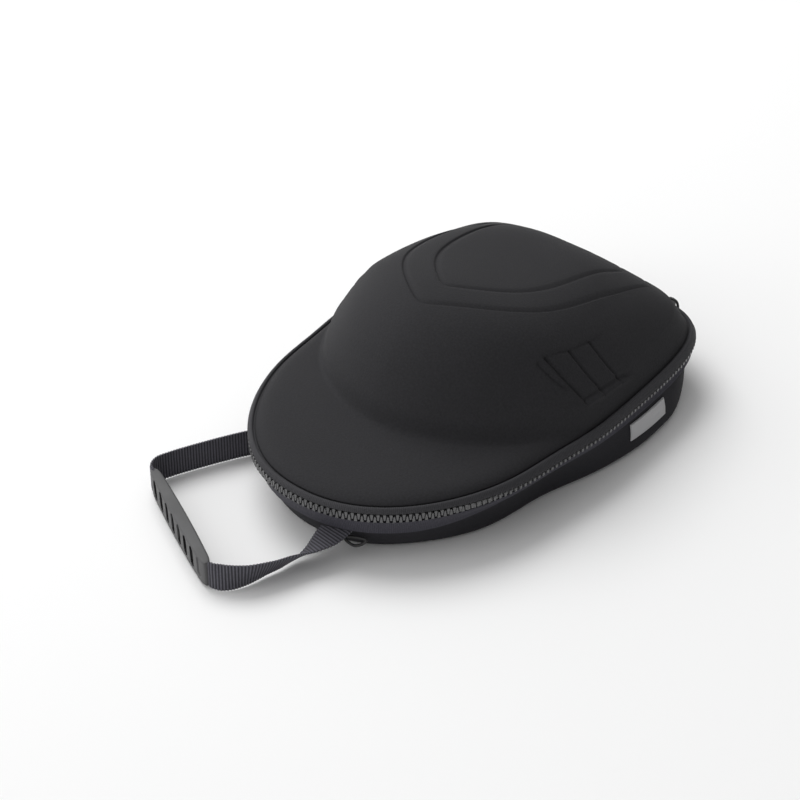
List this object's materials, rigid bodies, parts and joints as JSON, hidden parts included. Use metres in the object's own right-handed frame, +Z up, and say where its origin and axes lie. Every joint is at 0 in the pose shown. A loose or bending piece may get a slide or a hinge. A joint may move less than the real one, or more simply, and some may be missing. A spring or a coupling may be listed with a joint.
{
  "type": "cap carrier case",
  "caption": "Moulded zip-around case shaped like a cap, with a domed crown over a brim, a shallow tray below, and a webbing handle with a rubber grip.",
  "frame": {"origin": "on the base face, on the case's middle line, below the point where the brim's outline meets the rear outline", "axes": "+Z up, -Y towards the brim's tip and the handle, +X towards the side with the label"},
  "size_m": [0.2042, 0.3637, 0.1119],
  "materials": {
    "shell_fabric": "fine matte woven cover over moulded foam",
    "hinge_fabric": "matte woven cloth",
    "zip_tape": "matte woven tape",
    "zip_teeth": "moulded grey teeth, slightly shiny",
    "webbing": "cross-ribbed webbing",
    "grip_rubber": "smooth grey rubber",
    "black_metal": "black coated wire",
    "label": "smooth grey patch, left bare"
  },
  "bodies": {
    "root": {"upper_shell": "shell_fabric", "lower_shell": "shell_fabric", "upper_zip_tape": "zip_tape", "upper_zip_teeth": "zip_teeth", "lower_zip_teeth": "zip_teeth", "lower_zip_tape": "zip_tape", "back_hinge_strip": "hinge_fabric", "zip_slider": "black_metal", "zip_pull": "black_metal", "handle_strap_left": "webbing", "handle_strap_right": "webbing", "handle_grip": "grip_rubber", "hang_ring": "black_metal", "side_label": "label"}
  },
  "joints": []
}
